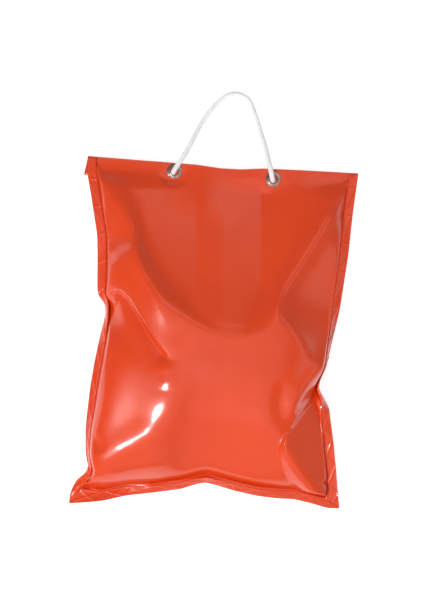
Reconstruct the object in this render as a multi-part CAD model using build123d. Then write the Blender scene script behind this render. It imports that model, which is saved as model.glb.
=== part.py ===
"""A PVC ballast sandbag lying on its back, with two eyelets and a rope handle.

Frame: millimetres, +Z up, +Y from the bag's foot towards its handle, +X to the
right when seen from above. The origin is on the floor, under the middle of the bag.
"""
from build123d import *
import math
import os

# ---- Sheet material and welded edges ----
SHEET = 0.8                  # one layer of coated cloth
WELD_BAND = 2 * SHEET        # two layers fused into one
WELD_WIDTH = 13.0
GAP = 0.3                    # clearance between soft pieces

# ---- Filled body ----
CROWN = Vector(4, -72, 98)   # top of the filled bag
FULLNESS = 2.6               # above 2 the top is flatter and the shoulders fuller
EDGE_SHARE = 0.94            # where the underside starts to leave the seam's slope
FLAT_SHARE = 0.85            # the flat contact patch, as a share of the outline
NECK_FLAT_SHARE = 0.60       # the same, on the side towards the hem
NECK_LIFT = 19.0             # underside height over the knot, behind the hem
NECK_START = 60.0            # the neck's gentler shape fades in from here ...
NECK_END = 215.0             # ... to here
SAND_GAP = SHEET + 0.5
SAND_NECK_SHARE = 0.74       # the sand stops short of the hem
SAND_SLUMP = 34.0            # and slopes down towards it
RINGS = [0.97, 0.92, 0.84, 0.72, 0.55, 0.35, 0.15]

# ---- Hem: the mouth folded over to the back ----
FLAP_SHEET = 1.2             # two layers of the folded-over mouth
ROPE_D = 7.5
ROPE_R = ROPE_D / 2
ROPE_RUN_Z = FLAP_SHEET + GAP + ROPE_R
HEM_TOP = 12.4               # front face of the hem above the floor
HEM_UNDER = HEM_TOP - WELD_BAND
HEM_LEFT = Vector(-198, 254.6)
HEM_RIGHT = Vector(202, 250.0)
HEM_STRIP = 26.0             # flat strip that carries the eyelets
FOLD_BULGE = 1.6
FLAP_LENGTH = 24.0
FOLD_GAP = 0.3
FLAP_SKEW = 4.0              # the flap's corner shows past the left edge

# ---- Eyelets ----
EYELET_LEFT = Vector(-69.0, 240.6)
EYELET_RIGHT = Vector(77.0, 236.6)
HOLE_R = 6.25
BARREL_WALL = 0.5
FLANGE_R = 11.0
FLANGE_T = 1.3
WASHER_R = 10.5
WASHER_T = 0.6

# ---- Rope handle ----
HINGE_Z = HEM_TOP + FLANGE_T + GAP + ROPE_R
FLOOR_Z = ROPE_R + 0.05
HANDLE_ROUTE = [
    (-69.0, 240.6, HINGE_Z), (-57.5, 260.0, HINGE_Z - 0.4), (-47.0, 282.0, 12.0), (-37.5, 305.0, 5.6),
    (-25.0, 328.0, FLOOR_Z), (-10.5, 346.5, FLOOR_Z), (9.5, 362.0, FLOOR_Z), (34.5, 356.0, FLOOR_Z),
    (45.5, 331.0, FLOOR_Z), (53.5, 309.0, 5.0), (62.5, 286.0, 10.8), (70.0, 262.5, HINGE_Z - 0.6),
    (77.0, 236.6, HINGE_Z),
]
KNOT = Vector(-22, 208, 8.2)
KNOT_HALF = Vector(14, 11.5, 7.6)
STUB_TOP = HINGE_Z - ROPE_R - GAP
RETURN_LEFT = [(-69.0, 240.6, STUB_TOP), (-69.0, 240.6, ROPE_RUN_Z), (-52.0, 231.0, ROPE_RUN_Z),
               (-30.0, 214.0, ROPE_RUN_Z + 1.0)]
RETURN_RIGHT = [(77.0, 236.6, STUB_TOP), (77.0, 236.6, ROPE_RUN_Z), (53.0, 231.5, ROPE_RUN_Z),
                (21.0, 220.0, ROPE_RUN_Z), (-12.0, 212.0, ROPE_RUN_Z + 1.0)]
TAIL_LEFT = [(-27.0, 202.0, FLOOR_Z + 1.0), (-37.0, 177.0, FLOOR_Z)]
TAIL_RIGHT = [(-17.0, 201.0, FLOOR_Z + 1.0), (-12.0, 174.0, FLOOR_Z)]

# ---- Outline of the welded edge: outer points and the height of their underside ----
LEFT_EDGE = [(-198, -256, 6), (-194, -236, 11), (-171, -206, 20), (-178, -145, 29), (-174, -75, 32),
             (-158, 18, 30), (-160, 40, 28), (-173, 56, 26), (-177, 140, 19), (-190, 201, 14)]
RIGHT_EDGE = [(200, -243, 6), (192, -186, 22), (178, -98, 29), (160, -66, 32), (173, -34, 31),
              (184, 50, 27), (193, 130, 20), (199, 201, 14)]
FOOT_EDGE = [(-150, -250, 10), (-100, -238, 14), (-35, -230, 17), (2, -217, 18), (43, -228, 17),
             (110, -234, 14), (157, -237, 10)]


def edge_line(point_a, point_b, share):
    """A point on the straight line between two hem corners."""
    return point_a + (point_b - point_a) * share


def facet(points):
    """One flat face through three or more points."""
    return Face(Wire.make_polygon(points, close=True))


def strip(lower, upper, closed=True):
    """Triangles between two rows of points that run side by side."""
    faces = []
    count = len(lower) if closed else len(lower) - 1
    for i in range(count):
        j = (i + 1) % len(lower)
        faces.append(facet([lower[i], lower[j], upper[j]]))
        faces.append(facet([lower[i], upper[j], upper[i]]))
    return faces


def solid_of(faces):
    """A closed solid from the faces of its whole skin."""
    return Solid(Shell(faces))


def lifted(points, height):
    return [point + Vector(0, 0, height) for point in points]


def neck_weight(y):
    """0 on the filled body, 1 at the neck, with a smooth change between."""
    share = min(1.0, max(0.0, (y - NECK_START) / (NECK_END - NECK_START)))
    return share * share * (3 - 2 * share)


def mix(body, neck, weight):
    return body + (neck - body) * weight


def outline():
    """Seam line around the filled body, and how much each point belongs to the neck."""
    left = [Vector(x + WELD_WIDTH, y, z) for x, y, z in LEFT_EDGE[1:]]
    right = [Vector(x - WELD_WIDTH, y, z) for x, y, z in RIGHT_EDGE[1:]]
    corner_left = Vector(LEFT_EDGE[0][0] + WELD_WIDTH, LEFT_EDGE[0][1] + WELD_WIDTH, LEFT_EDGE[0][2])
    corner_right = Vector(RIGHT_EDGE[0][0] - WELD_WIDTH, RIGHT_EDGE[0][1] + WELD_WIDTH, RIGHT_EDGE[0][2])
    foot = [Vector(x, y + WELD_WIDTH, z) for x, y, z in FOOT_EDGE]
    neck_ends = [hem_corner(HEM_LEFT, WELD_WIDTH), hem_corner(HEM_RIGHT, -WELD_WIDTH)]
    neck = [edge_line(neck_ends[1], neck_ends[0], share) for share in (0, 0.25, 0.5, 0.75, 1)]
    sides = [corner_left] + foot + [corner_right] + right
    loop = sides + neck + left[::-1]
    return loop, [neck_weight(point.Y) for point in loop]


def hem_corner(corner, inset):
    """Where the hem's flat strip meets the filled body, in from one side."""
    return Vector(corner.X + inset, corner.Y - FLAP_SHEET - FOLD_GAP - HEM_STRIP, HEM_UNDER)


def ring(loop, shares, heights):
    """The outline drawn in towards the crown, one height for each point."""
    points = []
    for point, share, height in zip(loop, shares, heights):
        x = CROWN.X + (point.X - CROWN.X) * share
        y = CROWN.Y + (point.Y - CROWN.Y) * share
        points.append(Vector(x, y, height))
    return points


def dome_height(base, share, weight):
    """Front face height: a round shoulder at the seams, a gentle slope at the neck."""
    return base + (CROWN.Z - base) * (1 - share ** FULLNESS) ** mix(0.5, 1.0, weight)


def front_rings(loop, weights, drop):
    """Rings of the front panel's outer face, lowered by drop."""
    rings = []
    for share in RINGS:
        heights = [dome_height(p.Z + WELD_BAND, share, weight) - drop for p, weight in zip(loop, weights)]
        rings.append(ring(loop, [share] * len(loop), heights))
    return rings


def dome_faces(rings, crown):
    faces = []
    for outer, inner in zip(rings, rings[1:]):
        faces += strip(outer, inner)
    last = rings[-1]
    for i, point in enumerate(last):
        faces.append(facet([point, last[(i + 1) % len(last)], crown]))
    return faces


def eyelet_holes(panel):
    for centre in (EYELET_LEFT, EYELET_RIGHT):
        cutter = Cylinder(HOLE_R + BARREL_WALL, 4 * HEM_TOP)
        panel = panel - Pos(centre.X, centre.Y, HEM_TOP) * cutter
    return panel


def hem_strip(bottom, top):
    """The flat strip of one panel between the filled body and the fold."""
    inset = WELD_WIDTH
    low = [hem_corner(HEM_LEFT, inset), hem_corner(HEM_RIGHT, -inset)]
    high = [Vector(p.X, p.Y + HEM_STRIP) for p in low]
    plan = facet([Vector(low[0].X, low[0].Y, bottom), Vector(low[1].X, low[1].Y, bottom),
                  Vector(high[1].X, high[1].Y, bottom), Vector(high[0].X, high[0].Y, bottom)])
    return extrude(plan, amount=top - bottom, dir=(0, 0, 1))


def front_panel():
    loop, weights = outline()
    outer = [lifted(loop, WELD_BAND)] + front_rings(loop, weights, 0)
    inner = [lifted(loop, SHEET)] + front_rings(loop, weights, SHEET)
    faces = dome_faces(outer, CROWN) + dome_faces(inner, CROWN - Vector(0, 0, SHEET))
    faces += strip(inner[0], outer[0])
    panel = solid_of(faces) + hem_strip(HEM_UNDER + SHEET, HEM_TOP)
    return eyelet_holes(panel)


def underside_rings(loop, weights, lift):
    """Seam line, shoulder and flat patch of the back panel, raised by lift."""
    middle_share = (EDGE_SHARE - FLAT_SHARE) / (1 - FLAT_SHARE)
    shoulder = [mix(p.Z * middle_share, NECK_LIFT, weight) for p, weight in zip(loop, weights)]
    flat_shares = [mix(FLAT_SHARE, NECK_FLAT_SHARE, weight) for weight in weights]
    rings = [lifted(loop, lift)]
    rings.append(ring(loop, [EDGE_SHARE] * len(loop), [height + lift for height in shoulder]))
    rings.append(ring(loop, flat_shares, [lift] * len(loop)))
    return rings


def back_panel():
    loop, weights = outline()
    faces = []
    for lift in (0, SHEET):
        rings = underside_rings(loop, weights, lift)
        for outer, inner in zip(rings, rings[1:]):
            faces += strip(outer, inner)
        faces.append(facet(rings[-1]))
    faces += strip(loop, lifted(loop, SHEET))
    panel = solid_of(faces) + hem_strip(HEM_UNDER, HEM_UNDER + SHEET)
    return eyelet_holes(panel)


def sand_fill():
    """The sand, from the foot to its slope below the hem."""
    loop, weights = outline()
    rings = []
    for share in RINGS:
        shares = [share * mix(1.0, SAND_NECK_SHARE, weight) for weight in weights]
        heights = []
        for point, weight, own in zip(loop, weights, shares):
            slump = weight * SAND_SLUMP * share ** 3
            heights.append(dome_height(point.Z + WELD_BAND, own, weight) - SAND_GAP - slump)
        rings.append(ring(loop, shares, heights))
    flat_shares = [mix(FLAT_SHARE, NECK_FLAT_SHARE, weight) - 0.01 for weight in weights]
    floor = ring(loop, flat_shares, [SAND_GAP] * len(loop))
    faces = dome_faces(rings, CROWN - Vector(0, 0, SAND_GAP))
    faces += strip(floor, rings[0])
    faces.append(facet(floor))
    return solid_of(faces)


def weld_strip(outer, inner):
    """A flat fused band between its outer edge and the panels."""
    faces = strip(outer, inner, closed=False)
    faces += strip(lifted(outer, WELD_BAND), lifted(inner, WELD_BAND), closed=False)
    faces += strip(outer, lifted(outer, WELD_BAND), closed=False)
    faces += strip(inner, lifted(inner, WELD_BAND), closed=False)
    for end in (0, -1):
        a = outer[end]
        b = inner[end]
        faces += strip([a, b], lifted([a, b], WELD_BAND), closed=False)
    return solid_of(faces)


def side_weld(edge, corner, sign):
    """One side's band, from the mitred foot corner up to the fold."""
    outer = [Vector(*point) for point in edge]
    inner = [Vector(x + sign * WELD_WIDTH, y, z) for x, y, z in edge]
    inner[0] = inner[0] + Vector(0, WELD_WIDTH, 0)
    for height in (HEM_STRIP, 0):
        y = corner.Y - FLAP_SHEET - FOLD_GAP - height
        outer.append(Vector(corner.X, y, HEM_UNDER))
        inner.append(Vector(corner.X + sign * WELD_WIDTH, y, HEM_UNDER))
    return weld_strip(outer, inner)


def foot_weld():
    ends = [LEFT_EDGE[0], RIGHT_EDGE[0]]
    points = [ends[0]] + FOOT_EDGE + [ends[1]]
    outer = [Vector(*point) for point in points]
    inner = [Vector(x, y + WELD_WIDTH, z) for x, y, z in points]
    inner[0] = inner[0] + Vector(WELD_WIDTH, 0, 0)
    inner[-1] = inner[-1] - Vector(WELD_WIDTH, 0, 0)
    return weld_strip(outer, inner)


def mouth_flap():
    """The mouth folded round the hem's edge and back along the floor."""
    length = (HEM_RIGHT - HEM_LEFT).length
    tilt = math.degrees(math.atan2(HEM_RIGHT.Y - HEM_LEFT.Y, HEM_RIGHT.X - HEM_LEFT.X))
    top = HEM_TOP
    low = HEM_UNDER
    wall = [
        ThreePointArc((0, 0), (FOLD_BULGE, top / 2), (0, top)),
        Line((0, top), (-FLAP_SHEET, top)),
        Line((-FLAP_SHEET, top), (-FLAP_SHEET, low)),
        ThreePointArc((-FLAP_SHEET, low), (FOLD_BULGE - FLAP_SHEET, top / 2), (-FLAP_SHEET, FLAP_SHEET)),
        Line((-FLAP_SHEET, FLAP_SHEET), (-FLAP_SHEET, 0)),
        Line((-FLAP_SHEET, 0), (0, 0)),
    ]
    plane = Plane(origin=(HEM_LEFT.X, HEM_LEFT.Y, 0), x_dir=(0, 1, 0), z_dir=(1, 0, 0))
    face = plane * make_face(wall)
    fold = extrude(face, amount=length, dir=(1, 0, 0))
    fold = fold.rotate(Axis((HEM_LEFT.X, HEM_LEFT.Y, 0), (0, 0, 1)), tilt)
    flap = facet([Vector(HEM_LEFT.X, HEM_LEFT.Y - 0.3), Vector(HEM_RIGHT.X, HEM_RIGHT.Y - 0.3),
                  Vector(HEM_RIGHT.X - FLAP_SKEW, HEM_RIGHT.Y - FLAP_LENGTH),
                  Vector(HEM_LEFT.X - FLAP_SKEW, HEM_LEFT.Y - FLAP_LENGTH)])
    return fold + extrude(flap, amount=FLAP_SHEET, dir=(0, 0, 1))


def eyelet(centre):
    """Flange with a rolled rim, and the barrel that is set over the washer."""
    barrel_r = HOLE_R + BARREL_WALL
    foot = HEM_UNDER - WASHER_T
    roll = 0.5
    profile = [
        Line((HOLE_R, foot - roll), (HOLE_R, HEM_TOP + FLANGE_T - roll)),
        ThreePointArc((HOLE_R, HEM_TOP + FLANGE_T - roll), (HOLE_R + 0.3, HEM_TOP + FLANGE_T - 0.1),
                      (HOLE_R + 1.4, HEM_TOP + FLANGE_T)),
        Line((HOLE_R + 1.4, HEM_TOP + FLANGE_T), (FLANGE_R, HEM_TOP + 0.6)),
        Line((FLANGE_R, HEM_TOP + 0.6), (FLANGE_R, HEM_TOP)),
        Line((FLANGE_R, HEM_TOP), (barrel_r, HEM_TOP)),
        Line((barrel_r, HEM_TOP), (barrel_r, foot)),
        Line((barrel_r, foot), (barrel_r + 0.9, foot)),
        Line((barrel_r + 0.9, foot), (barrel_r + 0.9, foot - roll)),
        Line((barrel_r + 0.9, foot - roll), (HOLE_R, foot - roll)),
    ]
    ring_solid = revolve(Plane.XZ * make_face(profile), Axis.Z)
    return Pos(centre.X, centre.Y, 0) * ring_solid


def washer(centre):
    """Plain ring behind the hem that the barrel is rolled over."""
    disc = Cylinder(WASHER_R, WASHER_T) - Cylinder(HOLE_R + BARREL_WALL, 2 * WASHER_T)
    return Pos(centre.X, centre.Y, HEM_UNDER - WASHER_T / 2) * disc


def route_radii(name, points, smallest=None):
    """Fillet radius at each corner of a rope route, as large as its runs allow."""
    radii = []
    for a, b, c in zip(points, points[1:], points[2:]):
        first = Vector(*b) - Vector(*a)
        second = Vector(*c) - Vector(*b)
        half_turn = math.radians(first.get_angle(second)) / 2
        radius = 0.45 * min(first.length, second.length) / math.tan(half_turn)
        radii.append(max(radius, smallest) if smallest else radius)
    print(name, "radii", [round(radius, 1) for radius in radii])
    return radii


def rope(name, points, smallest=None):
    """A round rope of straight runs joined by tangent arcs."""
    path = FilletPolyline(*points, radius=route_radii(name, points, smallest))
    start = Plane(origin=path @ 0, z_dir=path % 0)
    tube = sweep(start * Circle(ROPE_R), path=path)
    print(name, "length", round(path.length, 1), "volume ratio",
          round(tube.volume / (math.pi * ROPE_R ** 2 * path.length), 4))
    return tube


def handle_cord():
    """The arch, with a ball at each end that turns over its eyelet."""
    arch = rope("handle_cord", HANDLE_ROUTE)
    for end in (HANDLE_ROUTE[0], HANDLE_ROUTE[-1]):
        arch = arch + Pos(*end) * Sphere(ROPE_R)
    return arch


def cord_knot():
    """Outer shape of the knot that joins the rope's ends."""
    ball = scale(Sphere(1), by=(KNOT_HALF.X, KNOT_HALF.Y, KNOT_HALF.Z))
    return Pos(KNOT.X, KNOT.Y, KNOT.Z) * ball


def cord_tail(points):
    """A short free end of the rope beside the knot."""
    start, end = Vector(*points[0]), Vector(*points[1])
    along = end - start
    return extrude(Plane(origin=start, z_dir=along) * Circle(ROPE_R), amount=along.length)


def write_parts():
    os.makedirs("parts", exist_ok=True)
    knot = cord_knot()
    parts = {
        "front_panel": front_panel(),
        "back_panel": back_panel(),
        "left_weld_seam": side_weld(LEFT_EDGE, HEM_LEFT, 1),
        "right_weld_seam": side_weld(RIGHT_EDGE, HEM_RIGHT, -1),
        "bottom_weld_seam": foot_weld(),
        "mouth_flap": mouth_flap(),
        "sand_fill": sand_fill(),
        "left_eyelet": eyelet(EYELET_LEFT),
        "right_eyelet": eyelet(EYELET_RIGHT),
        "left_eyelet_washer": washer(EYELET_LEFT),
        "right_eyelet_washer": washer(EYELET_RIGHT),
        "handle_cord": handle_cord(),
        "cord_return_left": rope("cord_return_left", RETURN_LEFT, ROPE_D) - knot,
        "cord_return_right": rope("cord_return_right", RETURN_RIGHT, ROPE_D) - knot,
        "cord_tail_left": cord_tail(TAIL_LEFT) - knot,
        "cord_tail_right": cord_tail(TAIL_RIGHT) - knot,
        "cord_knot": knot,
    }
    for name, solid in parts.items():
        export_step(solid, f"parts/{name}.step")


write_parts()
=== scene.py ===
"""Looks of a glossy PVC ballast sandbag that lies on its back, seen from straight above."""
import math

import bpy
import numpy as np
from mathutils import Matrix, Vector


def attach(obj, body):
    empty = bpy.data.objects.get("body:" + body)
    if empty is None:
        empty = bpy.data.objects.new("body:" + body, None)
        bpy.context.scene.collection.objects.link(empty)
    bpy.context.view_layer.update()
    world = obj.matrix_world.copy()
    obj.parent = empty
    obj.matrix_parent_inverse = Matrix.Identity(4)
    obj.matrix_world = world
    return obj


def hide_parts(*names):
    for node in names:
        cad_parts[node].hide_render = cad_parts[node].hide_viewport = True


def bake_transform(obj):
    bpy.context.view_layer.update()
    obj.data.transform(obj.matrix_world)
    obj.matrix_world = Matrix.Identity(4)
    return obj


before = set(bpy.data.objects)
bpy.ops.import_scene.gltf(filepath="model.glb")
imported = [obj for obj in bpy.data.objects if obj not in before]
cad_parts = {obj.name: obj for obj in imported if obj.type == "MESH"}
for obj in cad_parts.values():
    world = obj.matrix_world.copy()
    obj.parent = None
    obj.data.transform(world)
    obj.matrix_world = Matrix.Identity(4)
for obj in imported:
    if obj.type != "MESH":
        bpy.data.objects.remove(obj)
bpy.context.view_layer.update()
MM = 0.001

# ---- Sizes of the cloth, in millimetres ----
SHEET = 0.8
WELD_WIDTH = 13.0
CORNER_CURL = 5.5             # how far the foot weld's inner edge dips at the left
FLAT_WIDTH = 374.0            # one panel between its side welds
FLAT_LENGTH = 524.0           # from the foot weld to the fold
HEM_ROWS = 3                  # rows of the grid that the eyelets hold flat
GRID_U = 74
GRID_V = 106
HEM_Z = 12.4                  # front face of the hem at the eyelets
FOLD_BULGE = 2.2
FLAP_LENGTH = 25.0
FLAP_SKEW = 4.5
EYELETS = ((-69.0, 240.6), (77.0, 236.6))
KNOT = (-22.0, 208.0, 8.2)
KNOT_HALF = (16.0, 13.0, 8.0)
FLAP_SHEET = 1.4
FLAP_Z = 0.45                 # the folded mouth's own middle above the floor
FOLD_STEPS = 12
FLAP_STEPS = 8

# ---- How the cloth settles: each step pushes it out, weighs it down and draws it to its flat lengths ----
SETTLE_STEPS = 420
START_HEIGHT = 66             # bulge that the front panel starts with
SAND_PUSH = 0.16
FULL_HEIGHT = 100.0           # the sand's push fades out near this height
CLOTH_WEIGHT = 0.025
DAMPING = 0.93
BENDING = 0.55
PULL_ROUNDS = 4
THREAD_HOLD = (0.5, 0.95)     # share of a squeeze, and of a stretch, taken out by one pull
BIAS_HOLD = (0.25, 0.5)       # the same, on the diagonal

# ---- Slopes laid over the settled front ----
NECK_TOP = 236.0              # y where the neck's face starts, at the hem
NECK_FOOT = 20.0              # y where it ends, at the belly
NECK_SLOPE = 0.36
FLANK_SLOPE = 0.5
FOOT_SLOPE = 0.5
FOOT_PASSES = 500             # smoothing of the line that the foot rises from
FOOT_RISE = 11                # quick rise beside the foot weld
FOOT_RISE_LEFT = 24           # and how much more of it there is at the left
FOOT_RISE_REACH = 24
FOOT_SOFT = 28                # how widely the foot's slope rolls into the belly

# ---- The welding tool's pattern ----
PITCH = 42.0                  # from one cross bar to the next
RIDGE_HALF = 0.95
RIDGE_HEIGHT = 0.75
BAND_COLUMNS = 22

# ---- Rope ----
ROPE_D = 7.5
ROPE_SIDES = 44
RING_STEP = 0.62
STRANDS = 8
BRAID_PITCH = 3.1
BRAID_DEPTH = 0.32
ROPE_POINTS = [
    (-31.0, 213.0, 6.2), (-50.0, 229.0, 5.3), (-70.0, 239.0, 4.8), (-70.6, 237.8, 19.8),
    (-61.0, 255.5, 19.4), (-55.0, 266.0, 16.0), (-47.0, 282.5, 10.0), (-37.5, 305.0, 5.0),
    (-25.0, 328.0, 3.8), (-10.5, 346.5, 3.8), (9.5, 362.0, 3.8), (34.5, 356.0, 3.8),
    (45.5, 331.0, 3.8), (53.5, 309.0, 4.6), (62.0, 286.0, 10.0), (68.0, 266.0, 16.5),
    (72.0, 252.5, 19.4), (76.6, 233.6, 19.8), (77.6, 236.0, 4.8), (53.0, 231.5, 5.3),
    (21.0, 220.0, 5.3), (-12.0, 212.0, 6.2),
]
KNOT_POINTS = 24
TAILS = [[(-26, 206, 7.0), (-30, 196, 5.0), (-36, 187, 4.0), (-38, 177, 3.9)],
         [(-18, 206, 7.0), (-15, 195, 5.0), (-15, 184, 4.0), (-12, 174, 3.9)]]

# ---- Each weld's outer edge as the bag lies: x, y, height, and how flat it lies (1 flat, 0 on edge) ----
LEFT_EDGE = [(-198, -256.5, 12, 1), (-196.5, -240, 11, 1), (-192, -229, 11, 1),
             (-186.5, -219.5, 12, 0.9), (-175, -210.5, 15, 0.7), (-171, -202, 16, 0.4),
             (-176.5, -180, 18, 0.4), (-178.3, -143, 20, 0.6), (-177, -116, 21, 0.75),
             (-174.5, -80, 22, 0.8), (-170.5, -46, 22, 0.8), (-165, -12, 21, 0.7),
             (-161, 9, 20, 0.5), (-158, 20, 19, 0.35), (-158.2, 30, 19, 0.3),
             (-160, 41, 19, 0.45), (-170, 51.5, 19, 0.8), (-172.3, 60, 20, 0.95),
             (-175, 112, 18, 1), (-177.2, 141, 17, 1), (-184, 173, 15, 1),
             (-190, 201, 13, 1), (-197, 231, 11, 1), (-198, 254, 9, 1)]
RIGHT_EDGE = [(200.5, -243, 7, 1), (196, -214, 10, 1), (192.5, -186, 13, 1), (186, -145, 16, 1),
              (179.5, -113, 19, 0.95), (176.5, -96, 20, 0.8), (166, -78, 22, 0.3), (158, -67, 22, 0.1),
              (160, -57, 22, 0.1), (169, -36, 21, 0.2), (175, 0, 20, 0.45), (184.5, 50, 19, 0.8),
              (193, 130, 16, 0.95), (196.5, 187, 13, 1), (198.8, 214, 12, 1), (202, 249.5, 9, 1)]
FOOT_EDGE = [(-198, -256.5, 12, 1), (-175, -253.5, 14, 1), (-150, -250, 14, 1), (-113, -240, 12, 0.98),
             (-72, -233, 11, 0.8), (-35, -226, 12, 0.75), (-12, -217.5, 13, 0.7), (2, -214, 13, 0.65),
             (18, -217.5, 13, 0.7), (43, -224, 12, 0.75), (80, -230.5, 11, 0.8), (109, -232.5, 10, 0.9),
             (133, -232.5, 9, 0.95), (157, -237, 9, 0.95), (184, -243.5, 8, 1), (200.5, -243, 7, 1)]
TOP_EDGE = [(-198, 254, 9, 1), (-120, 251.8, 10.5, 1), (-84, 251, 12, 1), (-34, 249.6, 12.6, 1),
            (-14, 247.4, 12.6, 1), (0, 246.2, 12.4, 1), (30, 246.2, 12.2, 1), (61, 249.2, 12.2, 1),
            (117, 249.7, 11.5, 1), (202, 249.5, 9, 1)]

# ---- Folds that run in from the pinched edges: start, end, half width, depth, all in plan ----
VALLEYS = [
    ((-150, 34), (-78, -44), 17, 20),
    ((152, -70), (104, -138), 15, 22),
    ((2, -206), (4, -186), 9, 7),
]

# ---- Soft ridges (valleys below 0): route in plan, height, half width, share that fades at each end ----
NECK_RIDGES = [
    ([(194, 236), (160, 186), (112, 100), (66, 14)], 5.0, 17, 0.25),
    ([(-182, 236), (-150, 176), (-110, 100), (-78, 40), (-50, 0)], 5.0, 17, 0.25),
    ([(-140, 190), (-118, 130), (-100, 60)], 2.0, 8, 0.35),
]
RIGHT_PINCH_RIDGES = [
    ([(176, 20), (170, -25), (146, -64), (112, -122)], 9.0, 14, 0.3),
    ([(108, -50), (102, -88), (109, -124)], -3.5, 12, 0.35),
    ([(50, -90), (100, -140), (150, -190), (176, -224)], 5.0, 26, 0.3),
]
LEFT_BELLY_RIDGES = [
    ([(-64, -34), (-61, -54), (-60, -82)], 2.4, 13, 0.35),
    ([(-174, -208), (-148, -188), (-128, -170), (-106, -157), (-82, -140), (-62, -120)], 4.0, 22, 0.25),
]
LEFT_SEAM_RIDGES = [
    ([(-166, -40), (-171, -90), (-171, -150)], 2.0, 6, 0.35),
    ([(-168, -150), (-158, -166), (-150, -176)], -4.0, 8, 0.35),
    ([(-168, 150), (-158, 128)], -2.4, 7, 0.35),
    ([(-160, 118), (-150, 98)], -2.6, 7, 0.35),
]

# ---- The facet at the lower right, the fold at the left, and the raised plateau under the highlight ----
FACET_CREASE = [(172, -47), (113, -134), (54, -221)]
FACET_SHOULDER = [(93, -106), (113, -134), (174, -221)]
FACET_PLANE = ((113, -134, 70), (164, -84, 22), (160, -204, 36))
LEFT_FOLD = [(-162, 54), (-148, 62), (-136, 61), (-123, 51), (-107, 28), (-78, -12), (-55, -38)]
PLATEAU = ((-64, -112, 82), (-144, -172, 58), (-28, -160, 85))
PLATEAU_TIP = (-62, -104)

# ---- Camera, in metres and degrees ----
CAMERA_PLACE = (-0.0012, 0.0541)
CAMERA_DISTANCE = 3.0
CAMERA_TURN = 3.05
VIEW_HEIGHT = 0.8875
SENSOR_HEIGHT = 24.0

# ---- Lights: name, place, aim, size in metres, watts ----
LIGHTS = [
    ("lamp", (-1.27, -0.95, 2.54), (0, 0, 0), (0.16, 0.16), 53),
    ("lamp_glow", (-1.27, -0.95, 2.54), (0, 0, 0), (0.75, 0.75), 9),
    ("overhead", (0.60, -1.3, 3.1), (0.60, -1.3, 0), (2.7, 3.8), 19),
    ("far_panel", (0.95, 1.75, 3.0), (0.95, 1.75, 0), (1.4, 2.1), 8.0),
    ("right_panel", (3.4, 0.4, 2.3), (0, 0, 0.1), (3.0, 1.4), 10),
    ("near_panel", (0.3, -4.2, 2.5), (0.3, 0, 0.6), (6.0, 3.2), 28),
]
FLOOR_HALF = 3
FLOOR_GLOW = 0.78
WORLD_LIGHT = 0.28


# ---- Small numeric helpers ----

def smooth(x, low, high):
    """0 below low, 1 above high, smooth between."""
    t = np.clip((np.asarray(x, float) - low) / (high - low), 0.0, 1.0)
    return t * t * (3 - 2 * t)


def along(points, count, passes=2):
    """count points at even distances along a line through the given ones."""
    line = np.array(points, float)
    fine = []
    for a, b in zip(line, line[1:]):
        steps = max(2, int(np.linalg.norm(b - a)))
        fine += [a + (b - a) * k / steps for k in range(steps)]
    fine = np.array(fine + [line[-1]])
    for _ in range(passes * 4):
        fine[1:-1] = 0.25 * fine[:-2] + 0.5 * fine[1:-1] + 0.25 * fine[2:]
    gaps = np.linalg.norm(np.diff(fine[:, :2], axis=0), axis=1)
    place = np.r_[0, np.cumsum(gaps)]
    want = np.linspace(0, place[-1], count)
    return np.stack([np.interp(want, place, fine[:, k]) for k in range(line.shape[1])], axis=1)


def inset(line, width, side):
    """The weld's inner edge: in from the outer one, and higher where the band stands on edge."""
    tangent = np.gradient(line[:, :2], axis=0)
    tangent /= np.linalg.norm(tangent, axis=1, keepdims=True)
    for _ in range(4):
        tangent[1:-1] = (tangent[:-2] + tangent[1:-1] + tangent[2:]) / 3
    flat = np.clip(line[:, 3], 0.05, 1.0)
    moved = line.copy()
    moved[:, 0] += side * width * flat * tangent[:, 1]
    moved[:, 1] -= side * width * flat * tangent[:, 0]
    moved[:, 2] += width * np.sqrt(1 - flat ** 2)
    return moved


# ---- The bag as a settled cloth ----

def seam_lines():
    """Outer and inner edge of each weld, and the fold at the hem, on the panel grid."""
    outer = {
        "left": along(LEFT_EDGE, GRID_V + 1),
        "right": along(RIGHT_EDGE, GRID_V + 1),
        "foot": along(FOOT_EDGE, GRID_U + 1, 1),
        "top": along(TOP_EDGE, GRID_U + 1),
    }
    inner = {
        "left": inset(outer["left"], WELD_WIDTH, 1),
        "right": inset(outer["right"], WELD_WIDTH, -1),
        "foot": inset(outer["foot"], WELD_WIDTH, -1),
    }
    inner["foot"][:, 2] -= CORNER_CURL * (1 - smooth(inner["foot"][:, 0], -130, -60))
    outer = {name: line[:, :3] for name, line in outer.items()}
    inner = {name: line[:, :3] for name, line in inner.items()}
    fit_corner(inner["left"], inner["foot"], (-183, -234, 9), False)
    fit_corner(inner["right"], inner["foot"], (180, -229, 9), True)
    top = outer["top"].copy()
    top[:, 0] = np.linspace(inner["left"][-1, 0], inner["right"][-1, 0], GRID_U + 1)
    top[:, 1] = np.interp(top[:, 0], outer["top"][:, 0], outer["top"][:, 1])
    top[:, 2] = np.interp(top[:, 0], outer["top"][:, 0], outer["top"][:, 2])
    inner["top"] = top
    inner["left"][-1] = top[0]
    inner["right"][-1] = top[-1]
    return outer, inner


def fit_corner(side, foot, corner, at_end):
    """Make the two inner weld edges meet in one corner point."""
    reach = 9
    order = foot[::-1] if at_end else foot
    corner = np.array(corner, float)
    for k in range(reach):
        share = k / reach
        side[k] = corner + (side[reach] - corner) * share
        order[k] = corner + (order[reach] - corner) * share


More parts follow.
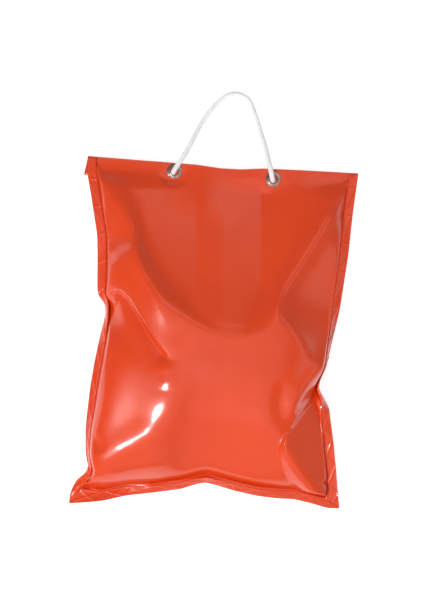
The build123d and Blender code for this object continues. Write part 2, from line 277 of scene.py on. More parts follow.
def coons(left, right, foot, top):
    """Grid of points between four edge lines."""
    u = np.linspace(0, 1, GRID_U + 1)[:, None, None]
    v = np.linspace(0, 1, GRID_V + 1)[None, :, None]
    across = (1 - u) * left[None] + u * right[None]
    upward = (1 - v) * foot[:, None] + v * top[:, None]
    corners = ((1 - u) * (1 - v) * foot[0] + u * (1 - v) * foot[-1]
               + (1 - u) * v * top[0] + u * v * top[-1])
    return across + upward - corners


def normals(grid):
    """Unit normals of a grid, pointing up for the front panel."""
    du = np.gradient(grid, axis=0)
    dv = np.gradient(grid, axis=1)
    n = np.cross(du, dv)
    return n / np.maximum(np.linalg.norm(n, axis=2, keepdims=True), 1e-9)


def pull(grid, weight, di, dj, rest, push, draw):
    """Bring pairs of points that are (di, dj) apart back to their flat distance."""
    nu, nv = grid.shape[:2]
    lo_j, hi_j = (0, nv - dj) if dj >= 0 else (-dj, nv)
    for start in range(2):
        if di:
            a = (slice(start, nu - di, 2), slice(lo_j, hi_j))
            b = (slice(start + di, nu, 2), slice(lo_j + dj, hi_j + dj))
        else:
            a = (slice(0, nu), slice(start, nv - dj, 2))
            b = (slice(0, nu), slice(start + dj, nv, 2))
        gap = grid[b] - grid[a]
        size = np.sqrt((gap * gap).sum(axis=2, keepdims=True))
        miss = (size - rest) / np.maximum(size, 1e-6)
        wa, wb = weight[a], weight[b]
        total = np.maximum(wa + wb, 1e-6)
        move = gap * miss * np.where(size > rest, draw, push) / total
        grid[a] += wa * move
        grid[b] -= wb * move


def stiffen(grid, weight, amount, axis):
    """Thin-plate bending along one axis."""
    g = np.moveaxis(grid, axis, 0)
    w = np.moveaxis(weight, axis, 0)
    curve = np.zeros_like(g)
    curve[1:-1] = g[:-2] - 2 * g[1:-1] + g[2:]
    change = np.zeros_like(g)
    change[1:-1] = curve[:-2] - 2 * curve[1:-1] + curve[2:]
    g -= amount * w * change / 16


def fill_weight(grid):
    """How full each part of the bag is: 1 over the sand, little at the neck."""
    return 0.34 + 0.66 * smooth(-grid[:, :, 1:2], -200.0, -20.0)


def start_shapes(base):
    """Both panels before they settle, and how much the sand pushes at each point of the front."""
    u = np.linspace(0, 1, GRID_U + 1)[:, None]
    v = np.linspace(0, 1, GRID_V + 1)[None, :]
    round_u = (4 * u * (1 - u)) ** 0.55
    round_v = smooth(v, -0.02, 0.30) * (1 - smooth(v, 0.42, 0.95))
    front = base.copy()
    back = base.copy()
    front[:, :, 2] += START_HEIGHT * round_u * round_v
    dip, slack = valleys(base)
    front[:, :, 2] = np.maximum(front[:, :, 2] - dip, 2)
    back[:, :, 2] *= 1 - round_u * smooth(v, 0, 0.08)
    hem = hem_surface(base)
    front[:, -HEM_ROWS:] = hem
    back[:, -HEM_ROWS:] = hem - [0, 0, 2 * SHEET]
    return front, back, slack


def free_weight():
    """1 where the cloth is free, 0 where the welds and the hem hold it."""
    weight = np.ones((GRID_U + 1, GRID_V + 1, 1))
    weight[0] = weight[-1] = 0
    weight[:, 0] = 0
    weight[:, -HEM_ROWS:] = 0
    return weight


def relax(grid, weight):
    """Draw the cloth towards its flat lengths and even out its bends."""
    step_u = FLAT_WIDTH / GRID_U
    step_v = FLAT_LENGTH / GRID_V
    diagonal = math.hypot(step_u, step_v)
    for _ in range(PULL_ROUNDS):
        pull(grid, weight, 1, 0, step_u, *THREAD_HOLD)
        pull(grid, weight, 0, 1, step_v, *THREAD_HOLD)
        pull(grid, weight, 1, 1, diagonal, *BIAS_HOLD)
        pull(grid, weight, 1, -1, diagonal, *BIAS_HOLD)
    stiffen(grid, weight, BENDING, 0)
    stiffen(grid, weight, BENDING, 1)


def keep_apart(front, back, free, ground):
    """Where the free cloth of both panels meets, one lies on the other, and the front clears the floor."""
    touching = free & (front[:, :, 2] < back[:, :, 2] + 2 * SHEET)
    middle = 0.5 * (front[:, :, 2] + back[:, :, 2])
    front[:, :, 2] = np.where(touching, np.maximum(middle, 0) + SHEET, front[:, :, 2])
    back[:, :, 2] = np.where(touching, np.maximum(middle - SHEET, ground), back[:, :, 2])
    front[:, :, 2] = np.where(free, np.maximum(front[:, :, 2], ground + 2 * SHEET), front[:, :, 2])


def settle_bag():
    """Fill the flat two-panel bag with sand and let it settle on the floor."""
    outer, inner = seam_lines()
    base = coons(inner["left"], inner["right"], inner["foot"], inner["top"])
    front, back, slack = start_shapes(base)
    weight = free_weight()
    full = fill_weight(base)
    ground = obstacle(base)
    speed = [np.zeros_like(front), np.zeros_like(back)]
    for _ in range(SETTLE_STEPS):
        for layer, sign in ((0, 1.0), (1, -1.0)):
            grid = (front, back)[layer]
            push = SAND_PUSH * full * np.clip(1.15 - grid[:, :, 2:3] / FULL_HEIGHT, 0.0, 1.2)
            if not layer:
                push = push * slack
            force = sign * push * normals(grid)
            force[:, :, 2] -= CLOTH_WEIGHT
            speed[layer] = (speed[layer] + force) * DAMPING * weight
            before = grid.copy()
            grid += speed[layer]
            relax(grid, weight)
            if layer:
                np.maximum(grid[:, :, 2], ground, out=grid[:, :, 2])
            speed[layer] = (grid - before) * weight
        keep_apart(front, back, weight[:, :, 0] > 0, ground)
    return outer, inner, front, back


def valleys(base):
    """How deep each fold starts, and how much of the sand's push is left there."""
    dip = np.zeros(base.shape[:2])
    slack = np.ones(base.shape[:2])
    for start, end, width, depth in VALLEYS:
        a, b = np.array(start, float), np.array(end, float)
        run = b - a
        share = np.clip(((base[:, :, :2] - a) @ run) / (run @ run), 0, 1)
        away = np.linalg.norm(base[:, :, :2] - (a + share[:, :, None] * run), axis=2)
        shape = np.exp(-(away / width) ** 2) * (1 - 0.45 * share)
        dip += depth * shape
        slack *= 1 - 1.5 * shape
    return dip, slack[:, :, None]


def obstacle(base):
    """Height of the floor, and of the rope's knot that lies under the neck."""
    ground = np.full(base.shape[:2], SHEET / 2)
    dx = (base[:, :, 0] - KNOT[0]) / (KNOT_HALF[0] + 5)
    dy = (base[:, :, 1] - KNOT[1]) / (KNOT_HALF[1] + 7)
    reach = np.clip(1 - dx ** 2 - dy ** 2, 0, None)
    top = KNOT[2] + KNOT_HALF[2] + 1
    knot = np.where(reach > 0, top * np.sqrt(np.clip(reach * 1.6, 0, 1)), 0)
    return np.maximum(ground, knot)


def hem_surface(base):
    """The hem's front face: flat where the eyelets clamp it, lower at its ends."""
    hem = base[:, -HEM_ROWS:].copy()
    x = hem[:, :, 0]
    hem[:, :, 2] = HEM_Z - 0.4 - 4.5 * smooth(np.abs(x - 4), 95, 190)
    return hem


# ---- Folds and facets pressed into the settled cloth ----

def away_from(points, route):
    """Distance of each grid point from a route, its side (+ on the left), and its share along."""
    best = np.full(points.shape[:2], 1e9)
    side = np.zeros(points.shape[:2])
    share = np.zeros(points.shape[:2])
    legs = np.array(route, float)
    total = np.linalg.norm(np.diff(legs, axis=0), axis=1).sum()
    done = 0.0
    for a, b in zip(legs, legs[1:]):
        run = b - a
        size = np.linalg.norm(run)
        t = np.clip(((points[:, :, :2] - a) @ run) / size ** 2, 0, 1)
        gap = points[:, :, :2] - (a + t[:, :, None] * run)
        away = np.linalg.norm(gap, axis=2)
        near = away < best
        best = np.where(near, away, best)
        turn = run[0] * gap[:, :, 1] - run[1] * gap[:, :, 0]
        side = np.where(near, np.sign(turn), side)
        share = np.where(near, (done + t * size) / total, share)
        done += size
    return best, side, share


def press_fold(grid, route, depth, steep, gentle, fade_in, fade_out):
    """A crease along a route: the cloth drops at once on its right and comes back up gently."""
    away, side, share = away_from(grid, route)
    strength = smooth(share, -0.01, fade_in) * (1 - smooth(share, 1 - fade_out, 1.0))
    drop = smooth(away, 0, steep) * np.exp(-(away / gentle) ** 1.6)
    grid[:, :, 2] -= depth * strength * np.where(side <= 0, drop, 0)


def raise_bump(grid, place, height, width):
    """A round swelling at one place."""
    away = np.hypot(grid[:, :, 0] - place[0], grid[:, :, 1] - place[1])
    grid[:, :, 2] += height * np.exp(-(away / width) ** 2)


def raise_ridges(grid, ridges):
    """Soft ridges, and soft valleys where the height is negative."""
    for route, height, width, fade in ridges:
        away, _, share = away_from(grid, route)
        strength = smooth(share, -0.01, fade) * (1 - smooth(share, 1 - fade, 1.0))
        grid[:, :, 2] += height * strength * np.exp(-(away / width) ** 2)


def plane_height(grid, corners):
    """Height at each grid point of the plane through three points."""
    a, b, c = [np.array(corner, float) for corner in corners]
    n = np.cross(b - a, c - a)
    return a[2] - ((grid[:, :, 0] - a[0]) * n[0] + (grid[:, :, 1] - a[1]) * n[1]) / n[2]


def cut_facet(grid, corners, soft):
    """Flatten the cloth to a plane wherever it stands above it."""
    grid[:, :, 2] = soft_min(grid[:, :, 2], plane_height(grid, corners), soft)


def crease_facet(grid, crease, shoulder, corners):
    """A flat facet: the cloth drops to it along the crease and rolls over into it at the shoulder."""
    away, side, share = away_from(grid, crease)
    inside = np.where(side > 0, smooth(away, 0, 3.5 + 60 * smooth(share, 0.5, 0.8)), 0)
    away, side, _ = away_from(grid, shoulder)
    near = np.where(side > 0, 1.0, 1 - smooth(away, 0, 34))
    grid[:, :, 2] += (plane_height(grid, corners) - grid[:, :, 2]) * inside * near


def soft_min(upper, lower, soft):
    """The lower of two heights, rounded where they cross."""
    gap = upper - lower
    cut = np.where(gap > soft, gap, np.where(gap < -soft, 0, (gap + soft) ** 2 / (4 * soft)))
    return upper - cut


def keep_inside(grid, spread):
    """Hold the filled cloth inside its welds, each row or column at least spread from the last."""
    rows = np.minimum(np.arange(grid.shape[1]), 60)[None, :]
    columns = np.minimum(np.arange(grid.shape[0]), 30)[:, None]
    foot = grid[:, :1].copy()
    grid[:, :, 1] = np.maximum(grid[:, :, 1], foot[:, :, 1] + spread * rows)
    left = grid[:1, :, 0].copy()
    right = grid[-1:, :, 0].copy()
    grid[:, :, 0] = np.maximum(grid[:, :, 0], left + 0.5 * spread * columns)
    grid[:, :, 0] = np.minimum(grid[:, :, 0], right - 0.5 * spread * columns[::-1])


def slope_foot(grid):
    """The cloth rises evenly from a smoothed line along the foot weld."""
    line = grid[:, 0, 1:].copy()
    line[12:-12, 1] = np.minimum(line[12:-12, 1], 14)
    for _ in range(FOOT_PASSES):
        line[1:-1] = 0.25 * line[:-2] + 0.5 * line[1:-1] + 0.25 * line[2:]
    reach = np.maximum(grid[:, :, 1] - line[:, :1], 0)
    rise = FOOT_RISE + FOOT_RISE_LEFT * (1 - smooth(grid[:, :, 0], -90, -20))
    limit = line[:, 1:] + 2 + FOOT_SLOPE * reach + rise * (1 - np.exp(-reach / FOOT_RISE_REACH))
    grid[:, :, 2] = soft_min(grid[:, :, 2], limit, FOOT_SOFT)


def slope_flanks(grid):
    """Each side falls evenly from its ridge to the weld beside the neck, and more steeply below."""
    y = grid[:, :, 1]
    for edge, low, high, extra in ((-182 - 0.02 * y, 0, 150, 2.2), (190 + 0.02 * y, -90, 90, 0.9)):
        slope = FLANK_SLOPE + extra * (1 - smooth(y, low, high))
        reach = np.maximum((edge - grid[:, :, 0]) * np.sign(edge), 0)
        limit = 17 + slope * reach
        grid[:, :, 2] = soft_min(grid[:, :, 2], limit, 5)


def bend(x, place, change, width=4.0):
    """A height whose slope changes by a given amount at one place."""
    away = x - place
    return 0.5 * change * (np.sqrt(away ** 2 + width ** 2) + away)


def trough(grid):
    """The neck's sloping face between the two ridges, in four faces that lean by turns."""
    x, y = grid[:, :, 0], grid[:, :, 1]
    up = (NECK_TOP - y) / (NECK_TOP - NECK_FOOT)
    below = 228 - y
    rise = 0.5 * NECK_SLOPE * (np.sqrt(below ** 2 + 400) + below)
    lean = 12 * up
    across = (-0.11 * (x + 36 - lean) + bend(x, -36 + lean, 0.11) - bend(x, 5 + lean, 0.11)
              + bend(x, 60 + lean, 0.24))
    left_line = -122 + 20 * up + 98 * up ** 3
    right_line = 178 - 128 * up
    across += (bend(left_line, x, 0.30, 9) + bend(x, right_line, 0.30, 9)) * smooth(up, 0.05, 0.35)
    height = HEM_Z - 2 + rise - 4 * np.sin(math.pi * np.clip(up, 0, 1)) + across * smooth(up, -0.02, 0.12)
    height += 60 * smooth(up, 1.0, 1.5) - 3.5 * smooth(np.abs(x - 4), 110, 190) * (1 - smooth(up, 0, 0.3))
    grid[:, :, 2] = soft_min(grid[:, :, 2], height, 8)
    grid[:, :, 2] += (height - grid[:, :, 2]) * (1 - smooth(up, 0.0, 0.12))


def press_eyelets(grid):
    """The cloth lies flat under each eyelet's flange."""
    for x, y in EYELETS:
        away = np.hypot(grid[:, :, 0] - x, grid[:, :, 1] - y)
        hold = 1 - smooth(away, 11, 26)
        grid[:, :, 2] += (HEM_Z - 0.5 - grid[:, :, 2]) * hold


def refine(grid):
    """The same surface with twice as many points each way."""
    for axis in (0, 1):
        g = np.moveaxis(grid, axis, 0)
        middle = 0.5 * (g[:-1] + g[1:])
        middle[1:-1] = (9 * (g[1:-2] + g[2:-1]) - g[:-3] - g[3:]) / 16
        fine = np.empty((2 * len(g) - 1,) + g.shape[1:])
        fine[::2] = g
        fine[1::2] = middle
        grid = np.moveaxis(fine, 0, axis)
    return grid


def seam_weight(shape):
    """0 on the welds, 1 from a few rows in."""
    weight = np.ones(shape)
    weight[0] = weight[-1] = 0
    weight[:, 0] = 0
    for k, share in ((1, 0.15), (2, 0.4), (3, 0.65), (4, 0.85)):
        weight[k] *= share
        weight[-1 - k] *= share
        weight[:, k] *= share
    return weight


def shape_front(front):
    """The folds that show, laid over the settled shape."""
    front = refine(front)
    keep_inside(front, spread=1.0)
    slope_foot(front)
    keep = front[:, :, 2].copy()
    slope_flanks(front)
    trough(front)
    raise_ridges(front, NECK_RIDGES)
    raise_ridges(front, RIGHT_PINCH_RIDGES)
    crease_facet(front, FACET_CREASE, FACET_SHOULDER, FACET_PLANE)
    press_fold(front, LEFT_FOLD, depth=11, steep=4, gentle=19, fade_in=0.2, fade_out=0.12)
    cut_facet(front, PLATEAU, soft=7)
    raise_ridges(front, LEFT_BELLY_RIDGES)
    raise_bump(front, PLATEAU_TIP, height=5.0, width=40)
    raise_bump(front, KNOT[:2], height=3.5, width=34)
    raise_ridges(front, LEFT_SEAM_RIDGES)
    front[:, :, 2] = keep + (front[:, :, 2] - keep) * seam_weight(front.shape[:2])
    press_eyelets(front)
    return front


# ---- Meshes ----

def mesh_piece(name, points, faces, material, body="bag"):
    """A smooth piece from points in millimetres; with no body, it is not attached to one."""
    mesh = bpy.data.meshes.new(name)
    mesh.from_pydata([tuple(float(c) * MM for c in p) for p in points], [], faces)
    mesh.update()
    piece = bpy.data.objects.new(name, mesh)
    bpy.context.collection.objects.link(piece)
    for polygon in mesh.polygons:
        polygon.use_smooth = True
    mesh.materials.append(material)
    if body:
        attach(piece, body)
    return piece


def grid_faces(rows, columns, flip=False):
    """Quads over a grid of points, turned over if flip is set."""
    faces = []
    for i in range(rows - 1):
        for j in range(columns - 1):
            a = i * columns + j
            quad = (a, a + columns, a + columns + 1, a + 1)
            faces.append(quad[::-1] if flip else quad)
    return faces


def grid_piece(name, grid, material, flip=False):
    """A single sheet from a grid of points."""
    return mesh_piece(name, grid.reshape(-1, 3), grid_faces(*grid.shape[:2], flip), material)


def finer(line, step):
    """The same line with points at about step apart."""
    gaps = np.linalg.norm(np.diff(line, axis=0), axis=1)
    place = np.r_[0, np.cumsum(gaps)]
    want = np.linspace(0, place[-1], int(place[-1] / step) + 1)
    fine = np.stack([np.interp(want, place, line[:, k]) for k in range(3)], axis=1)
    for _ in range(12):
        fine[1:-1] = 0.25 * fine[:-2] + 0.5 * fine[1:-1] + 0.25 * fine[2:]
    return fine, want


def ridge(distance):
    """Height of one raised line, by distance from its middle."""
    return RIDGE_HEIGHT * np.exp(-(distance / RIDGE_HALF) ** 2)


def tool_pattern(s, t, crossed, offset):
    """Raised lines that the welding tool leaves: cross bars, one diagonal or two, and two edge lines."""
    cell = (s + offset) / PITCH
    part = cell - np.floor(cell)
    to_bar = np.minimum(part, 1 - part) * PITCH
    slope = math.hypot(PITCH, WELD_WIDTH) / WELD_WIDTH
    height = ridge(to_bar)
    height = np.maximum(height, ridge((part - (1 - t)) * PITCH / slope))
    if crossed:
        height = np.maximum(height, ridge((part - t) * PITCH / slope))
    height = np.maximum(height, ridge((t - 0.97) * WELD_WIDTH) * 0.9)
    return height * smooth(t, 0.0, 0.05) - 0.25 * smooth(t, 0.03, 0.12) * (1 - smooth(t, 0.90, 0.97))


def weld_piece(name, outer, inner, material, crossed=False, offset=0.0, flip=False):
    """A fused band with the tool's pattern on both faces and a closed edge."""
    low, place = finer(outer, 0.9)
    high, _ = finer(inner, 0.9)
    share = np.linspace(0, 1, len(high))
    want = np.linspace(0, 1, len(low))
    high = np.stack([np.interp(want, share, high[:, k]) for k in range(3)], axis=1)
    t = np.linspace(0, 1, BAND_COLUMNS)
    middle = low[:, None] + (high - low)[:, None] * t[None, :, None]
    n = normals(middle)
    if n[:, :, 2].mean() < 0:
        n = -n
    pattern = tool_pattern(place[:, None], t[None, :], crossed, offset)[:, :, None]
    top = middle + n * (SHEET + pattern)
    under = middle - n * (SHEET + 0.6 * pattern)
    rows, columns = top.shape[:2]
    points = np.concatenate([top.reshape(-1, 3), under.reshape(-1, 3)])
    upper = grid_faces(rows, columns, flip)
    count = rows * columns
    lower = [tuple(k + count for k in face[::-1]) for face in upper]
    rim = [(i, 0) for i in range(rows)] + [(rows - 1, j) for j in range(1, columns)]
    rim += [(i, columns - 1) for i in range(rows - 2, -1, -1)] + [(0, j) for j in range(columns - 2, 0, -1)]
    index = [i * columns + j for i, j in rim]
    sides = []
    for a, b in zip(index, index[1:] + index[:1]):
        quad = (b, a, a + count, b + count)
        sides.append(quad[::-1] if flip else quad)
    return mesh_piece(name, points, upper + lower + sides, material)


def mouth_flap(outer, front, material):
    """The mouth turned round the hem's edge and laid back along the floor."""
    skin = front[:, -1]
    left = along([tuple(outer["left"][-1]), tuple(skin[0])], 4, 0)[:-1]
    right = along([tuple(skin[-1]), tuple(outer["right"][-1])], 4, 0)[1:]
    crest = np.concatenate([left, skin, right])
    crest[:3, 2] = np.linspace(skin[0, 2] - 0.2, skin[0, 2], 3)
    crest[-3:, 2] = np.linspace(skin[-1, 2], skin[-1, 2] - 0.2, 3)
    rows = []
    for k in range(FOLD_STEPS + 1):
        angle = math.pi * k / FOLD_STEPS
        row = crest.copy()
        row[:, 1] += FOLD_BULGE * math.sin(angle)
        row[:, 2] = FLAP_Z + (crest[:, 2] - FLAP_Z) * (0.5 + 0.5 * math.cos(angle))
        rows.append(row)
    for k in range(1, FLAP_STEPS + 1):
        row = rows[FOLD_STEPS].copy()
        share = k / FLAP_STEPS
        row[:, 1] -= FLAP_LENGTH * share
        row[:, 0] -= FLAP_SKEW * share
        row[:, 2] += 0.25 * np.sin(row[:, 0] / 23.0) * share + 0.25 * share
        rows.append(row)
    flap = grid_piece("mouth_flap_skin", np.array(rows), material)
    thicken(flap, FLAP_SHEET)
    return flap


def thicken(piece, thickness):
    """Give a sheet its thickness, half of it on each side."""
    solid = piece.modifiers.new("thickness", "SOLIDIFY")
    solid.thickness = thickness * MM
    solid.offset = 0.0
    apply_modifiers(piece)


def apply_modifiers(piece):
    """Replace the mesh by what its modifiers make of it."""
    graph = bpy.context.evaluated_depsgraph_get()
    mesh = bpy.data.meshes.new_from_object(piece.evaluated_get(graph))
    piece.modifiers.clear()
    piece.data = mesh


def subdivided(piece, levels):
    """Subdivide the mesh smoothly, for good."""
    finer_mesh = piece.modifiers.new("smooth", "SUBSURF")
    finer_mesh.levels = levels
    finer_mesh.render_levels = levels
    apply_modifiers(piece)


# ---- Rope ----


def smooth_line(points, closed=False):
    """Points read from a NURBS line through the route, in millimetres."""
    curve = bpy.data.curves.new("route", "CURVE")
    curve.dimensions = "3D"
    spline = curve.splines.new("NURBS")
    spline.points.add(len(points) - 1)
    for spot, point in zip(spline.points, points):
        spot.co = (*[c * MM for c in point], 1.0)
    spline.order_u = 3
    spline.use_endpoint_u = not closed
    spline.use_cyclic_u = closed
    spline.resolution_u = 16
    holder = bpy.data.objects.new("route", curve)
    bpy.context.collection.objects.link(holder)
    mesh = bpy.data.meshes.new_from_object(holder)
    line = np.array([vertex.co[:] for vertex in mesh.vertices]) / MM
    bpy.data.objects.remove(holder)
    bpy.data.meshes.remove(mesh)
    bpy.data.curves.remove(curve)
    return line


def braid_height(a, b):
    """Over-and-under weave of two families of strands, from -1 to 1."""
    def strand(across, lengthways, sign):
        index = np.round(across)
        crown = np.sqrt(np.clip(1 - (1.9 * (across - index)) ** 2, 0, 1))
        lift = np.cos(math.pi * (lengthways + index)) * sign
        return 0.55 * crown + 0.45 * lift - 0.5
    return np.maximum(strand(a, b, 1), strand(b, a, -1))


def rope_rings(line, closed=False):
    """The path of a braided rope along a line, and its rings as one array."""
    if closed:
        line = np.concatenate([line, line[:1]])
    gaps = np.linalg.norm(np.diff(line, axis=0), axis=1)
    place = np.r_[0, np.cumsum(gaps)]
    want = np.linspace(0, place[-1], int(place[-1] / RING_STEP) + 1)
    path = np.stack([np.interp(want, place, line[:, k]) for k in range(3)], axis=1)
    for _ in range(6):
        path[1:-1] = 0.25 * path[:-2] + 0.5 * path[1:-1] + 0.25 * path[2:]
    tangent = np.gradient(path, axis=0)
    tangent /= np.linalg.norm(tangent, axis=1, keepdims=True)
    side = np.zeros_like(path)
    start = np.cross(tangent[0], [0.1, 0.2, 1.0])
    side[0] = start / np.linalg.norm(start)
    for k in range(1, len(path)):
        carried = side[k - 1] - tangent[k] * (side[k - 1] @ tangent[k])
        side[k] = carried / np.linalg.norm(carried)
    other = np.cross(tangent, side)
    theta = np.linspace(0, 2 * math.pi, ROPE_SIDES, endpoint=False)
    turns = STRANDS * theta[None, :] / (2 * math.pi)
    run = want[:, None] / BRAID_PITCH
    swell = BRAID_DEPTH * braid_height(turns + run, turns - run)
    size = (ROPE_D / 2 - 0.1 + swell)[:, :, None]
    ring = np.cos(theta)[None, :, None] * side[:, None] + np.sin(theta)[None, :, None] * other[:, None]
    return path, path[:, None] + ring * size


def rope_mesh(rings, start_index=0, closed_ends=True):
    """Faces between a rope's rings, and over its two ends."""
    count, around = rings.shape[:2]
    faces = []
    for i in range(count - 1):
        for j in range(around):
            k = (j + 1) % around
            faces.append((start_index + i * around + j, start_index + i * around + k,
                          start_index + (i + 1) * around + k, start_index + (i + 1) * around + j))
    if closed_ends:
        faces.append(tuple(start_index + j for j in range(around))[::-1])
        faces.append(tuple(start_index + (count - 1) * around + j for j in range(around)))
    return faces


def rope(material):
    """The whole rope: out of its knot, up through both eyelets and over the arch."""
    path, rings = rope_rings(smooth_line(ROPE_POINTS))
    piece = mesh_piece("handle_rope", rings.reshape(-1, 3), rope_mesh(rings), material, None)
    return piece, path


def rope_knot(material):
    """An overhand knot behind the hem, and the rope's two short ends."""
    turns = []
    for k in range(KNOT_POINTS):
        t = 2 * math.pi * k / KNOT_POINTS
        turns.append((KNOT[0] + 3.5 * (math.sin(t) + 2 * math.sin(2 * t)),
                      KNOT[1] + 2.7 * (math.cos(t) - 2 * math.cos(2 * t)),
                      KNOT[2] - 3.9 * math.sin(3 * t)))
    points = []
    faces = []
    base = 0
    for route, closed in [(turns, True), (TAILS[0], False), (TAILS[1], False)]:
        _, rings = rope_rings(smooth_line(route, closed), closed)
        points.append(rings.reshape(-1, 3))
        faces += rope_mesh(rings, base, not closed)
        base += rings.shape[0] * rings.shape[1]
    return mesh_piece("rope_knot", np.concatenate(points), faces, material)


# ---- Materials ----

def new_material(name):
    """A node material, its tree and its main shader."""
    material = bpy.data.materials.new(name)
    material.use_nodes = True
    tree = material.node_tree
    return material, tree, tree.nodes["Principled BSDF"]


def place_node(tree):
    """Object coordinates, in metres."""
    return tree.nodes.new("ShaderNodeTexCoord").outputs["Object"]


def noise(tree, vector, scale, detail=3.0, roughness=0.55):
    """Cloudy noise from 0 to 1."""
    node = tree.nodes.new("ShaderNodeTexNoise")
    node.inputs["Scale"].default_value = scale
    node.inputs["Detail"].default_value = detail
    node.inputs["Roughness"].default_value = roughness
    tree.links.new(vector, node.inputs["Vector"])
    return node.outputs["Fac"]


def remap(tree, value, low, high, to_low, to_high):
    """A value carried from one range to another."""
    node = tree.nodes.new("ShaderNodeMapRange")
    for key, number in (("From Min", low), ("From Max", high), ("To Min", to_low), ("To Max", to_high)):
        node.inputs[key].default_value = number
    tree.links.new(value, node.inputs["Value"])
    return node.outputs["Result"]


def blend_colour(tree, factor, first, second):
    """A mix of two colours."""
    node = tree.nodes.new("ShaderNodeMix")
    node.data_type = "RGBA"
    tree.links.new(factor, node.inputs["Factor"])
    node.inputs["A"].default_value = (*first, 1)
    node.inputs["B"].default_value = (*second, 1)
    return node.outputs["Result"]


def bump(tree, height, strength, distance, under=None):
    """Fine relief, on top of another if one is given."""
    node = tree.nodes.new("ShaderNodeBump")
    node.inputs["Strength"].default_value = strength
    node.inputs["Distance"].default_value = distance
    tree.links.new(height, node.inputs["Height"])
    if under:
        tree.links.new(under, node.inputs["Normal"])
    return node.outputs["Normal"]


def weave(tree, vector, pitch):
    """Fine cloth threads that show faintly through the coating."""
    waves = []
    for direction in ("X", "Y"):
        node = tree.nodes.new("ShaderNodeTexWave")
        node.bands_direction = direction
        node.inputs["Scale"].default_value = 0.314 / pitch
        node.inputs["Distortion"].default_value = 0.4
        node.inputs["Detail"].default_value = 1.0
        tree.links.new(vector, node.inputs["Vector"])
        waves.append(node.outputs["Fac"])
    add = tree.nodes.new("ShaderNodeMath")
    add.operation = "ADD"
    tree.links.new(waves[0], add.inputs[0])
    tree.links.new(waves[1], add.inputs[1])
    return add.outputs["Value"]


def cloth_material():
    """Glossy coated cloth: deep orange-red, faint threads and a soft grain in the coating."""
    material, tree, shader = new_material("orange_pvc")
    where = place_node(tree)
    tone = remap(tree, noise(tree, where, 7.0, 4.0), 0.3, 0.7, 0.0, 1.0)
    colour = blend_colour(tree, tone, (0.66, 0.042, 0.002), (0.73, 0.054, 0.004))
    tree.links.new(colour, shader.inputs["Base Color"])
    wear = noise(tree, where, 24.0, 5.0, 0.65)
    tree.links.new(remap(tree, wear, 0.3, 0.75, 0.30, 0.42), shader.inputs["Roughness"])
    shader.inputs["Specular IOR Level"].default_value = 0.3
    shader.inputs["Coat Weight"].default_value = 0.65
    shader.inputs["Coat Roughness"].default_value = 0.08
    threads = bump(tree, weave(tree, where, 0.0011), 0.06, 0.0003)
    grain = bump(tree, noise(tree, where, 800.0, 2.0), 0.12, 0.0002, threads)
    tree.links.new(grain, shader.inputs["Normal"])
    tree.links.new(grain, shader.inputs["Coat Normal"])
    return material


def rope_material():
    """White braided rope: matt fibres, a little grey in random patches."""
    material, tree, shader = new_material("white_rope")
    where = place_node(tree)
    dirt = remap(tree, noise(tree, where, 60.0, 4.0), 0.35, 0.7, 0.0, 1.0)
    colour = blend_colour(tree, dirt, (0.90, 0.90, 0.90), (0.78, 0.78, 0.79))
    tree.links.new(colour, shader.inputs["Base Color"])
    shader.inputs["Roughness"].default_value = 0.7
    shader.inputs["Sheen Weight"].default_value = 0.3
    fibres = bump(tree, noise(tree, where, 2600.0, 3.0), 0.35, 0.0002)
    tree.links.new(fibres, shader.inputs["Normal"])
    return material


def metal_material():
    """Nickel-plated steel, polished, with faint wear."""
    material, tree, shader = new_material("nickel")
    where = place_node(tree)
    wear = remap(tree, noise(tree, where, 420.0, 4.0), 0.4, 0.7, 0.0, 1.0)
    colour = blend_colour(tree, wear, (0.42, 0.35, 0.32), (0.26, 0.19, 0.17))
    tree.links.new(colour, shader.inputs["Base Color"])
    shader.inputs["Metallic"].default_value = 1.0
    polish = remap(tree, noise(tree, where, 300.0, 3.0), 0.3, 0.7, 0.12, 0.30)
    tree.links.new(polish, shader.inputs["Roughness"])
    return material


# ---- Scene ----

def camera():
    """Straight above the bag, turned a little as the picture is."""
    data = bpy.data.cameras.new("camera")
    data.sensor_fit = "VERTICAL"
    data.sensor_height = SENSOR_HEIGHT
    data.lens = CAMERA_DISTANCE * SENSOR_HEIGHT / VIEW_HEIGHT
    cam = bpy.data.objects.new("camera", data)
    cam.location = (*CAMERA_PLACE, CAMERA_DISTANCE)
    cam.rotation_euler = (0, 0, math.radians(CAMERA_TURN))
    bpy.context.collection.objects.link(cam)
    bpy.context.scene.camera = cam


def area_light(name, place, aim, size, power):
    """One rectangular lamp that points at its aim."""
    data = bpy.data.lights.new(name, "AREA")
    data.shape = "RECTANGLE"
    data.size, data.size_y = size
    data.energy = power
    lamp = bpy.data.objects.new(name, data)
    lamp.location = place
    direction = [a - p for a, p in zip(aim, place)]
    lamp.rotation_euler = Vector(direction).to_track_quat("-Z", "Y").to_euler()
    bpy.context.collection.objects.link(lamp)


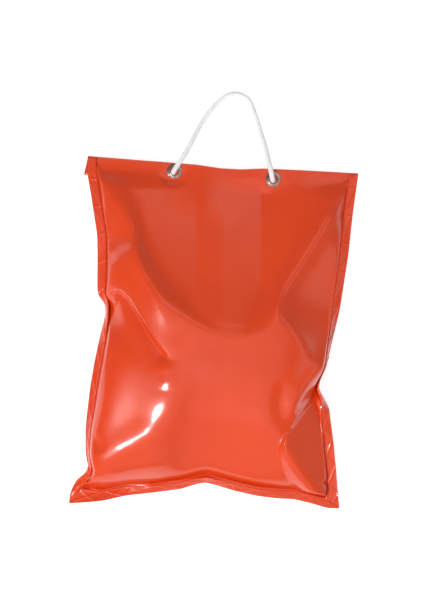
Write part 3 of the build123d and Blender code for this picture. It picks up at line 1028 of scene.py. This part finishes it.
def studio():
    """A pale glowing floor, a dim world and the lamps."""
    mesh = bpy.data.meshes.new("floor")
    corners = [(x * FLOOR_HALF, y * FLOOR_HALF, 0) for x, y in ((-1, -1), (1, -1), (1, 1), (-1, 1))]
    mesh.from_pydata(corners, [], [(0, 1, 2, 3)])
    floor = bpy.data.objects.new("floor", mesh)
    bpy.context.collection.objects.link(floor)
    material = bpy.data.materials.new("floor_paper")
    material.use_nodes = True
    shader = material.node_tree.nodes["Principled BSDF"]
    shader.inputs["Base Color"].default_value = (0.5, 0.5, 0.5, 1)
    shader.inputs["Roughness"].default_value = 0.9
    shader.inputs["Specular IOR Level"].default_value = 0.0
    shader.inputs["Emission Color"].default_value = (1, 1, 1, 1)
    shader.inputs["Emission Strength"].default_value = FLOOR_GLOW
    mesh.materials.append(material)
    world = bpy.data.worlds.new("studio")
    world.use_nodes = True
    world.node_tree.nodes["Background"].inputs["Color"].default_value = (1, 1, 1, 1)
    world.node_tree.nodes["Background"].inputs["Strength"].default_value = WORLD_LIGHT
    bpy.context.scene.world = world
    bpy.context.scene.view_settings.view_transform = "Standard"
    for light in LIGHTS:
        area_light(*light)


def main():
    """The bag, its rope, the camera and the studio."""
    cloth = cloth_material()
    metal = metal_material()
    white = rope_material()
    outer, inner, front, back = settle_bag()
    front = shape_front(front)
    keep_inside(back, spread=2.0)
    front_skin = grid_piece("front_skin", front, cloth)
    subdivided(front_skin, 1)
    back_skin = grid_piece("back_skin", back, cloth, flip=True)
    subdivided(back_skin, 1)
    left = weld_piece("left_weld", outer["left"], inner["left"], cloth, offset=8)
    right = weld_piece("right_weld", outer["right"], inner["right"], cloth, offset=20, flip=True)
    foot = weld_piece("foot_weld", outer["foot"], inner["foot"], cloth, crossed=True, flip=True)
    flap = mouth_flap(outer, front, cloth)
    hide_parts("front_panel", "sand_fill")
    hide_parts("back_panel")
    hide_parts("mouth_flap")
    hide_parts("left_weld_seam")
    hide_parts("right_weld_seam")
    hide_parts("bottom_weld_seam")
    cord, path = rope(white)
    knot = rope_knot(white)
    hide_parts("handle_cord", "cord_return_left", "cord_return_right")
    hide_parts("cord_knot", "cord_tail_left", "cord_tail_right")
    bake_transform(cord)
    for name in ("left_eyelet", "right_eyelet", "left_eyelet_washer", "right_eyelet_washer"):
        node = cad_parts[name]
        for slot in node.material_slots:
            slot.material = metal
    camera()
    studio()


main()
